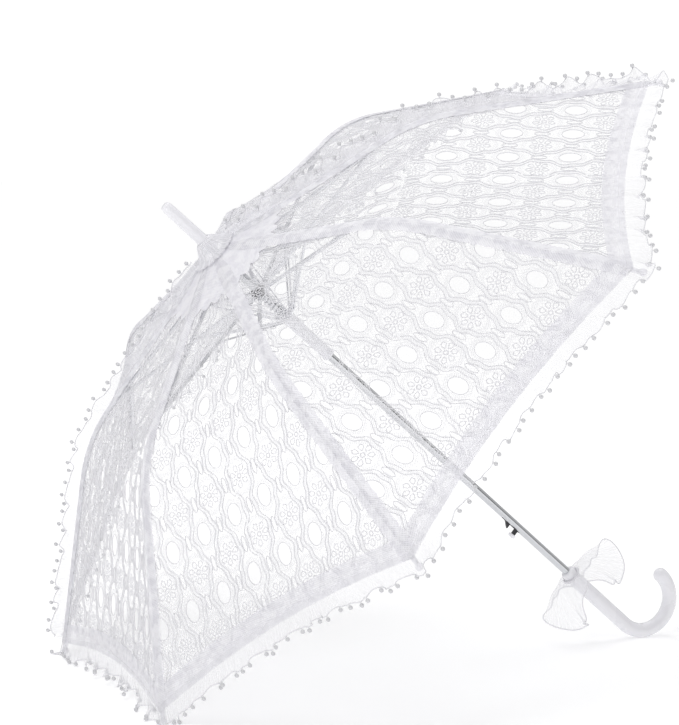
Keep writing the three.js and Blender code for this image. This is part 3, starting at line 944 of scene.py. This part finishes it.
def ribTrims():
    beadPattern = beadShape()
    beadTree = scatterTree(beadPattern, pearl)
    rolled = threadTree(0.00045, thread, sides=5)
    loops = threadTree(0.0003, thread, sides=4)
    for rib in ribTrim["ribs"]:
        downs = np.linspace(ribTrim["start"], clothLength - 0.004, 230)
        along, share = np.meshgrid(downs, np.linspace(0, 1, 8))
        grid = trimPoint(rib, along, share)
        uv = np.stack([along * 1.5, share * ribTrim["depth"]], -1)
        cloth = meshObject(f"ribRuffle_{ribNames[rib]}", grid.reshape(-1, 3), gridFaces(8, 230),
                           [ruffleCloth], uv.reshape(-1, 2))
        tidyMesh(cloth, 1e-7)
        roll = rolled.run(f"ribRuffleEdge_{ribNames[rib]}", meshObject(
            "edgeLine", trimPoint(rib, downs, 1.0), [], edges=[(step, step + 1) for step in range(229)]))
        spots = np.arange(ribTrim["start"] + 0.004, clothLength - 0.006, ribTrim["beadGap"])
        root, hung = trimPoint(rib, spots, 1.0), trimPoint(rib, spots, 1.0, ruffle["beadDrop"])
        points = [point for pair in zip(root, hung) for point in pair]
        loop = loops.run(f"ribBeadLoops_{ribNames[rib]}", meshObject(
            "loopLines", points, [], edges=[(2 * bead, 2 * bead + 1) for bead in range(len(spots))]))
        string = beadTree.run(f"ribBeads_{ribNames[rib]}", pointCloud(
            "beadPoints", hung, [upward] * len(spots), [sideways] * len(spots)))
        for piece in (cloth, roll, loop, string):
            bendAcross(piece, rib)
    bpy.data.objects.remove(beadPattern)


# a small bead with a slightly flattened hole end
def beadShape():
    rings, sides, radius = 7, 10, ruffle["beadRadius"]
    points, faces = [], []
    for ring in range(rings):
        polar = math.pi * ring / (rings - 1)
        for step in range(sides):
            angle = 2 * math.pi * step / sides
            points.append((radius * math.sin(polar) * math.cos(angle),
                           radius * math.sin(polar) * math.sin(angle), radius * 0.92 * math.cos(polar)))
    faces = gridFaces(rings, sides, closeColumns=True)
    bead = meshObject("beadShape", points, faces, [pearl])
    tidyMesh(bead, 1e-5)
    return bead


# the lace bands sewn over the ribs
ribBand = {"halfWidth": 0.0082, "lift": 0.0013, "start": 0.004}


def ribBands():
    for rib in range(parasol["ribs"]):
        downs = np.linspace(ribBand["start"], clothLength - 0.001, 110)
        widths = np.linspace(-1, 1, 13)
        across, along = np.meshgrid(widths, downs)
        scallop = 1 + 0.07 * np.sin(along * 2 * math.pi / 0.0062)
        narrow = np.minimum(1, 0.25 + along / 0.05)
        reach = ribBand["halfWidth"] * np.abs(across) * scallop * narrow / (goreWidth(along) / 2)
        swing = np.sign(across) * reach
        grid = sectorPoint(rib, np.where(across == 0, 0, swing), along, ribBand["lift"])
        uv = np.stack([across * ribBand["halfWidth"], along], -1)
        name = f"ribBand_{ribNames[rib]}"
        band = meshObject(name, grid.reshape(-1, 3), gridFaces(110, 13), [bandLace], uv.reshape(-1, 2))
        tidyMesh(band, 1e-7)
        bendAcross(band, rib)


# a piece along a rib keeps its place, baked into its mesh; the points where the rib's curve starts and ends are worked
# out but not used
def bendAcross(piece, rib):
    angle = ribAngle(rib)
    start = place(parasol["bendStart"] + 0.006, angle, float(ribHeight(parasol["bendStart"] + 0.006)))
    end = place(parasol["bendEnd"] + 0.004, angle, float(ribHeight(parasol["bendEnd"] + 0.004)))
    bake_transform(piece)


hemBands()
crownSheets()
ruffles()
ribBands()
ribTrims()
print("hem, ruffle and rib bands made")


# ---- ribs, stretchers and links ----

# a rolled channel, open on the side away from the cloth
def channelSection(width, depth, wall):
    half = width / 2
    return [(-half, -depth / 2), (-half, depth / 2 - 0.0004), (-half + 0.0004, depth / 2),
            (half - 0.0004, depth / 2), (half, depth / 2 - 0.0004), (half, -depth / 2),
            (half - wall, -depth / 2), (half - wall, depth / 2 - wall),
            (-half + wall, depth / 2 - wall), (-half + wall, -depth / 2)]


def ribs():
    for rib in range(parasol["ribs"]):
        angle = ribAngle(rib)
        radius = np.concatenate([np.linspace(0.0085, parasol["bendStart"], 30),
                                 np.linspace(parasol["bendStart"], parasol["bendEnd"], 30)[1:],
                                 np.linspace(parasol["bendEnd"], parasol["tipRadius"] - 0.002, 20)[1:]])
        path = place(radius, angle, ribHeight(radius))
        slope = ribSlope(radius)
        out = upward * math.cos(angle) + sideways * math.sin(angle)
        across = np.repeat(np.cross(stick, out)[None], len(radius), 0)
        lift = np.multiply.outer(np.sin(slope), out) + np.multiply.outer(np.cos(slope), stick)
        name = f"rib_{ribNames[rib]}_channel"
        channel = sweptPiece(name, path, across, lift,
                             channelSection(parasol["ribWidth"], parasol["ribDepth"], 0.0006), steel)
        bendAcross(channel, rib)
        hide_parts(f"rib_{ribNames[rib]}_inner", f"rib_{ribNames[rib]}_outer")
        tipHeight = float(ribHeight(parasol["tipRadius"]))
        tip = place(parasol["tipRadius"], angle, tipHeight)
        slopeEnd = parasol["outerSlope"]
        away = out * math.cos(slopeEnd) - stick * math.sin(slopeEnd)
        profile = [(0, -0.013), (0.0019, -0.013), (0.0021, -0.0125), (0.0021, -0.0062), (0.0017, -0.0045)]
        profile += [(0.0034 * math.sin(a), -0.0034 * math.cos(a)) for a in np.linspace(0.5, math.pi, 14)]
        ball = turnedPiece(f"ribTip_{ribNames[rib]}", profile, glossWhite, 24, centre=tip, axis=away)
        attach(ball, f"rib_{ribNames[rib]}_tip")


ribs()


def paintNode(node, material, width=None):
    thing = frame["nodes"][node]
    thing.data.materials.clear()
    thing.data.materials.append(material)
    if width:
        bevelled(thing, width)


# rivet heads where the stretcher meets its rib and its link
def rivets():
    height, radius = 0.0007, 0.0014
    for rib in range(parasol["ribs"]):
        paintNode(f"stretcher_{ribNames[rib]}", steel)
        paintNode(f"link_{ribNames[rib]}", steel)
        angle = ribAngle(rib)
        across = np.cross(stick, upward * math.cos(angle) + sideways * math.sin(angle))
        spots = []
        for joint, reach in ((f"stretcher_{ribNames[rib]}_fold", 0.0027), (f"link_{ribNames[rib]}_fold", 0.0028)):
            pivot = np.array(joints[joint]["pos_m"])
            spots += [(pivot + across * reach * sign, across * sign) for sign in (-1, 1)]
        pattern = turnedPiece("rivetShape", [(0, -0.0004), (radius, -0.0004), (radius, height * 0.3),
                                             (radius * 0.7, height * 0.8), (0, height)], steel, 14,
                              centre=(0, 0, 0), axis=(0, 0, 1))
        tree = scatterTree(pattern, steel)
        cloud = pointCloud("rivetPoints", [spot for spot, _ in spots], [way for _, way in spots], [stick] * 4)
        heads = tree.run(f"rivets_{ribNames[rib]}", cloud)
        bpy.data.objects.remove(pattern)
        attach(heads, f"stretcher_{ribNames[rib]}")


rivets()
print("ribs made")


# ---- stick, ferrule, hubs and runner ----

stickSizes = {
    "shaft": 0.004, "wall": 0.0007,
    "handleTop": -0.306, "socket": 0.026,
    "ferruleBase": 0.192, "ferruleEnd": 0.254, "ferrule": 0.006, "flare": 0.008,
    "notch": 0.0068, "hub": 0.0066, "hubHeight": 0.131,
    "runnerHeight": 0.094, "sleeve": 0.058,
    "slotTop": -0.2115, "slotBottom": -0.237, "slotHalf": 0.0019,
}


# cuts a block out of a piece, along the stick on its lower side
def cutSlot(piece, top, bottom, half):
    corners = []
    for reach in (-0.012, -0.001):
        for aside in (-half, half):
            for height in (bottom, top):
                corners.append(middle + upward * reach + sideways * aside + stick * height)
    faces = [(0, 1, 3, 2), (4, 6, 7, 5), (0, 4, 5, 1), (2, 3, 7, 6), (0, 2, 6, 4), (1, 5, 7, 3)]
    cutter = meshObject("cutter", corners, faces, smooth=False)
    tidyMesh(cutter)
    boolean = piece.modifiers.new("slot", "BOOLEAN")
    boolean.operation, boolean.object, boolean.solver = "DIFFERENCE", cutter, "EXACT"
    shown = piece.evaluated_get(bpy.context.evaluated_depsgraph_get())
    result = bpy.data.meshes.new_from_object(shown)
    piece.modifiers.clear()
    piece.data = result
    bpy.data.objects.remove(cutter)


def ringPiece(name, outline, bore, material, sides=64):
    profile = [(bore, outline[0][1]), *outline, (bore, outline[-1][1])]
    return turnedPiece(name, profile, material, sides, ring=True)


def rideAs(piece, body, slot, *nodes):
    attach(piece, body)
    if nodes:
        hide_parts(*nodes)
    return piece


def makeStick():
    size = stickSizes
    low, high = size["handleTop"] - size["socket"] + 0.0003, size["ferruleBase"] + 0.022
    tube = ringPiece("shaft", [(size["shaft"], high), (size["shaft"], low)], size["shaft"] - size["wall"],
                     chrome, 72)
    cutSlot(tube, size["slotTop"], size["slotBottom"], size["slotHalf"])
    tube.data.shade_smooth()
    edgeSplit(tube)
    rideAs(tube, "frame", "chrome_tube", "shaft_tube")

    base, end, radius = size["ferruleBase"], size["ferruleEnd"], size["ferrule"]
    outline = [(0, base + 0.0223), (0.0043, base + 0.0223), (0.0043, base), (size["flare"], base),
               (size["flare"], base + 0.003), (radius + 0.0003, base + 0.0085), (radius, base + 0.012),
               (radius - 0.0003, base + 0.0125), (radius, base + 0.013),
               (radius - 0.0004, end - 0.005), (radius - 0.0012, end - 0.0012), (radius - 0.003, end), (0, end)]
    rideAs(turnedPiece("ferrule", rounded(outline, 0.0012), glossWhite, 64), "frame", "white_plastic",
           "ferrule_cap")

    for name, height, ring, body, slot, node, material in (
            ("topNotch", parasol["ribPivot"][1], size["notch"], "frame", "white_plastic", "top_notch", glossWhite),
            ("upperHub", size["hubHeight"], size["hub"], "hub", "black_plastic", "upper_hub", blackPlastic)):
        outline = [(ring, height + 0.004), (ring, height + 0.0012), (ring - 0.0012, height + 0.0006),
                   (ring - 0.0012, height - 0.0006), (ring, height - 0.0012), (ring, height - 0.0042)]
        collar = ringPiece(name, rounded(outline, 0.0005), size["shaft"] + 0.0003, material)
        rideAs(collar, body, slot, node)
        teeth = hubTeeth(name + "Teeth", height, ring, material)
        rideAs(teeth, body, slot)

    height, bottom = size["runnerHeight"], size["runnerHeight"] - size["sleeve"]
    outline = [(0.0069, height + 0.004), (0.0069, height - 0.0045), (0.0062, height - 0.007),
               (0.0060, height - 0.020), (0.0057, bottom + 0.006), (0.0062, bottom + 0.003),
               (0.0062, bottom)]
    runner = ringPiece("runner", rounded(outline, 0.0014), size["shaft"] + 0.00035, glossWhite)
    cutSlot(runner, bottom + 0.0028, bottom - 0.002, size["slotHalf"])
    runner.data.shade_smooth()
    edgeSplit(runner)
    rideAs(runner, "runner", "white_plastic", "lower_runner")
    rideAs(hubTeeth("runnerTeeth", height + 0.0005, 0.0069, glossWhite), "runner", "white_plastic")


# small blocks between which the ribs, stretchers or links hook in
def hubTeeth(name, height, ring, material):
    points, faces = [], []
    for tooth in range(parasol["ribs"]):
        start = len(points)
        steps = 5
        for level in (height - 0.0026, height + 0.0026):
            for radius in (ring - 0.0006, ring + 0.0012):
                for step in range(steps):
                    angle = (tooth + 0.5) * sector + math.pi + sector / 2 + (step / (steps - 1) - 0.5) * 0.30
                    points.append(place(radius, angle, level))
        inner, outer = 0, steps
        for level in (0, 1):
            base = start + level * 2 * steps
            for step in range(steps - 1):
                faces.append((base + step, base + step + 1, base + outer + step + 1, base + outer + step))
        for row in (inner, outer):
            for step in range(steps - 1):
                low, high = start + row + step, start + 2 * steps + row + step
                faces.append((low, low + 1, high + 1, high))
        for step in (0, steps - 1):
            low, high = start + step, start + 2 * steps + step
            faces.append((low, low + steps, high + steps, high))
    teeth = meshObject(name, points, faces, [material], smooth=False)
    tidyMesh(teeth)
    return bevelled(teeth, 0.0003)


# sharp edges stay sharp on a smooth piece
def edgeSplit(piece, angle=40):
    split = piece.modifiers.new("sharp", "EDGE_SPLIT")
    split.split_angle = math.radians(angle)


spring = {"radius": 0.0056, "wire": 0.0005, "turns": 6, "low": 0.099, "high": 0.125}


def makeSpring():
    share = np.linspace(0, 1, spring["turns"] * 32 + 1)
    angle = share * spring["turns"] * 2 * math.pi
    path = place(np.full_like(share, spring["radius"]), angle, spring["low"] + (spring["high"] - spring["low"]) * share)
    lines = [(step, step + 1) for step in range(len(share) - 1)]
    coil = threadTree(spring["wire"], steel, sides=8).run("openingSpring", meshObject("coil", path, [], edges=lines))
    rideAs(coil, "hub", "steel", "opening_spring")


def makeLatch():
    paintNode("latch_lever", blackPlastic, 0.0002)
    height, inner = -0.233, 0.0093
    outline = [(0, 0), (0.004, 0), (0.004, 0.0018), (0.003, 0.0028), (0, 0.0032)]
    cap = turnedPiece("pressButton", rounded(outline, 0.0008), glossWhite, 40,
                      centre=middle + stick * height - upward * inner, axis=-upward)
    rideAs(cap, "latch", "white_plastic", "button_cap")


makeStick()
makeSpring()
makeLatch()
print("stick, hubs and latch made")


# ---- handle and its frill ----

crook = {"radius": 0.0073, "bendStart": -0.3955, "bendRadius": 0.0315, "top": -0.306}


def crookPoint(along):
    straight = crook["top"] - crook["bendStart"]
    turn = np.maximum(along - straight, 0) / crook["bendRadius"]
    aside = crook["bendRadius"] * (1 - np.cos(turn))
    height = crook["top"] - np.minimum(along, straight) - crook["bendRadius"] * np.sin(turn)
    point = middle + np.multiply.outer(aside, upward) + np.multiply.outer(height, stick)
    lift = np.multiply.outer(np.cos(turn), upward) + np.multiply.outer(np.sin(turn), stick)
    forward = np.multiply.outer(np.sin(turn), upward) - np.multiply.outer(np.cos(turn), stick)
    return point, lift, forward


def makeHandle():
    straight = crook["top"] - crook["bendStart"]
    bend = math.pi * crook["bendRadius"]
    radius = crook["radius"]
    along = [0, 0, 0.0006, 0.0016]
    girth = [0.0044, radius - 0.0014, radius - 0.0004, radius]
    body = np.linspace(0.004, straight + bend, 110)
    along += list(body)
    girth += [radius] * len(body)
    for angle in np.linspace(0, math.pi / 2, 12)[1:]:
        along.append(straight + bend)
        girth.append(radius * math.cos(angle))
    along, girth = np.array(along), np.maximum(np.array(girth), 1e-5)
    point, lift, forward = crookPoint(along)
    for step, angle in enumerate(np.linspace(0, math.pi / 2, 12)[1:]):
        point[len(point) - 11 + step] += forward[-1] * radius * math.sin(angle)
    sides = 40
    turn = np.linspace(0, 2 * math.pi, sides, endpoint=False)
    rings = (point[:, None] + girth[:, None, None] * (np.cos(turn)[None, :, None] * lift[:, None]
             + np.sin(turn)[None, :, None] * sideways[None, None]))
    count = len(along)
    faces = gridFaces(count, sides, closeColumns=True)
    faces += [tuple(range(sides)), tuple(range((count - 1) * sides, count * sides))]
    grip = meshObject("crookHandle", rings.reshape(-1, 3), faces, [glossWhite])
    tidyMesh(grip)
    rideAs(grip, "frame", "white_plastic", "handle_hook")


frill = {"inner": 0.0079, "lobe": 0.051, "waist": 0.019, "top": -0.313, "columns": 260, "rows": 30}


# the frill is gathered round the grip and falls open towards the crook in two large lobes
def frillPoint(turn, share):
    lobes = np.abs(np.cos(turn + 0.12 * np.sin(2 * turn))) ** 0.75
    length = frill["waist"] + (frill["lobe"] - frill["waist"]) * lobes + 0.003 * np.sin(5 * turn + 0.8)
    lean = math.radians(50) + math.radians(16) * np.sin(3 * turn + 0.6) * share
    cup = math.radians(42) * lobes * (1 - share) ** 2
    outwards = length * share * np.sin(lean + cup)
    forwards = length * share * np.cos(lean + cup)
    fold = 0.0052 * share ** 1.2 * (np.sin(7 * turn + 0.9) + 0.5 * np.sin(12 * turn - 0.4))
    fine = 0.0009 * np.sin(38 * turn) * np.exp(-share * 5)
    radius = frill["inner"] + outwards + fine + fold * 0.5
    height = frill["top"] + 0.004 * np.sin(math.pi * share) - forwards + fold * 0.8
    angle = turn + 0.22 * share * np.sin(4 * turn + 0.5)
    return (middle + np.multiply.outer(radius * np.cos(angle), upward)
            + np.multiply.outer(radius * np.sin(angle), sideways)
            + np.multiply.outer(height, stick))


def makeFrill():
    columns, rows = frill["columns"], frill["rows"]
    turn = np.linspace(0, 2 * math.pi, columns, endpoint=False)
    turns, share = np.meshgrid(turn, np.linspace(0, 1, rows))
    grid = frillPoint(turns, share)
    uv = np.stack([turns * 0.05, share * 0.04], -1)
    cloth = meshObject("handleFrill", grid.reshape(-1, 3), gridFaces(rows, columns, closeColumns=True),
                       [frillCloth], uv.reshape(-1, 2))
    tidyMesh(cloth, 1e-7)
    edge = frillPoint(turn, np.ones(columns))
    roll = threadTree(0.0005, thread, sides=6).run("frillEdge", meshObject(
        "frillLine", edge, [], edges=[(step, (step + 1) % columns) for step in range(columns)]))
    tie = threadTree(0.0009, thread, sides=8).run("frillTie", meshObject(
        "tieLine", frillPoint(turn, np.full(columns, 0.02)), [],
        edges=[(step, (step + 1) % columns) for step in range(columns)]))
    rideAs(cloth, "frame", "organza", "handle_frill")
    rideAs(roll, "frame", "organza")
    rideAs(tie, "frame", "organza")


# pleated cloth that closes the canopy under the ferrule
gather = {"inner": 0.0064, "outer": 0.024, "top": 0.2035, "pleats": 22}


def makeGather():
    columns, rows = 27, 14
    for rib in range(parasol["ribs"]):
        angle = ribAngle(rib)
        turns, share = np.meshgrid(angle + np.linspace(-halfSector, halfSector, columns), np.linspace(0, 1, rows))
        pleat = np.sin(turns * gather["pleats"] + 0.8 * np.sin(3 * turns))
        radius = gather["inner"] + (gather["outer"] - gather["inner"]) * share ** 1.2 + 0.0007 * pleat * (0.4 + share)
        onCloth = np.interp(radius, seamRadius, seamHeight) + 0.0022
        neck = gather["top"] + (onCloth - gather["top"]) * smoothStep(0.0, 0.75, share)
        height = neck + 0.0009 * pleat * smoothStep(0.1, 0.9, share) + 0.0008
        grid = place(radius, turns, height)
        uv = np.stack([turns * 0.012, share * 0.02], -1)
        cloth = meshObject(f"crownGather_{ribNames[rib]}", grid.reshape(-1, 3), gridFaces(rows, columns),
                           [gatherCloth], uv.reshape(-1, 2))
        tidyMesh(cloth, 1e-7)
        tuple(place(0.0075, angle, 0.2))
        tuple(place(0.015, angle, float(ribHeight(0.015)) + 0.012))
        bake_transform(cloth)


makeHandle()
makeFrill()
makeGather()
print("handle, frill and gather made")


# ---- camera, floor and light ----

view = {
    "azimuth": math.radians(-23.0),
    "elevation": math.radians(5.23),
    "distance": 2.1322,
    "lens": 111.6,
    "aim": (-0.0167, 0.0, 0.0168),     # from the middle of the plane of the tips
}


def makeCamera():
    data = bpy.data.cameras.new("camera")
    camera = bpy.data.objects.new("camera", data)
    bpy.context.scene.collection.objects.link(camera)
    turn, rise = view["azimuth"], view["elevation"]
    back = Vector((math.sin(turn) * math.cos(rise), -math.cos(turn) * math.cos(rise), math.sin(rise)))
    camera.location = Vector(middle) + Vector(view["aim"]) + back * view["distance"]
    camera.rotation_mode = "QUATERNION"
    camera.rotation_quaternion = (-back).to_track_quat("-Z", "Y")
    data.lens, data.sensor_width, data.sensor_fit = view["lens"], 36.0, "AUTO"
    data.clip_start, data.clip_end = 0.05, 60
    bpy.context.scene.camera = camera


stageLight = 0.58


def makeStage():
    finish = Finish("floor", (0.88, 0.88, 0.885), 0.9)
    spot = finish.term("ShaderNodeTexCoord")
    flat = finish.term("ShaderNodeVectorMath", {"operation": "LENGTH"},
                       [Term(finish.tree, spot.socket.node.outputs["Object"])], output=1)
    finish.set("Emission Color", finish.between(flat.ramp(0.2, 1.7), (0.58, 0.58, 0.58), (1.0, 1.0, 1.0)))
    finish.set("Emission Strength", 0.5)
    size = 40.0
    floor = meshObject("floor", [(-size, -size, 0), (size, -size, 0), (size, size, 0), (-size, size, 0)],
                       [(0, 1, 2, 3)], [finish.material], smooth=False)
    world = bpy.data.worlds.new("studio")
    bpy.context.scene.world = world
    world.use_nodes = True
    background = world.node_tree.nodes["Background"]
    background.inputs["Color"].default_value = (1, 1, 1, 1)
    maker = Term(world.node_tree, None)
    path = maker.node("ShaderNodeLightPath")
    glossy = Term(world.node_tree, path.socket.node.outputs["Is Glossy Ray"])
    direction = maker.node("ShaderNodeTexCoord")
    turn = view["azimuth"]
    towards = direction.node("ShaderNodeVectorMath", {"operation": "DOT_PRODUCT"},
                             [direction, (math.sin(turn), -math.cos(turn), 0.0)], output=1)
    # the dark side of the studio, which only shiny metal shows
    dark = towards.ramp(0.1, 0.55) * glossy
    soft = stageLight * (1 - dark * 0.96)
    glow = path * (1.05 - soft) + soft     # full white behind, softer light on the object
    world.node_tree.links.new(glow.socket, background.inputs["Strength"])
    lamps = {
        "key": ((-1.3, -1.2, 2.6), 1.1, 24.0),
        "top": ((0.4, 0.6, 2.4), 1.4, 12.0),
    }
    for name, (spot, size, power) in lamps.items():
        data = bpy.data.lights.new(name, "AREA")
        data.shape, data.size, data.energy = "DISK", size, power
        lamp = bpy.data.objects.new(name, data)
        bpy.context.scene.collection.objects.link(lamp)
        lamp.location = spot
        lamp.rotation_euler = (Vector((0, 0, 0.25)) - Vector(spot)).to_track_quat("-Z", "Y").to_euler()
    bpy.context.scene.view_settings.view_transform = "Standard"


makeCamera()
makeStage()
print("camera and stage made")
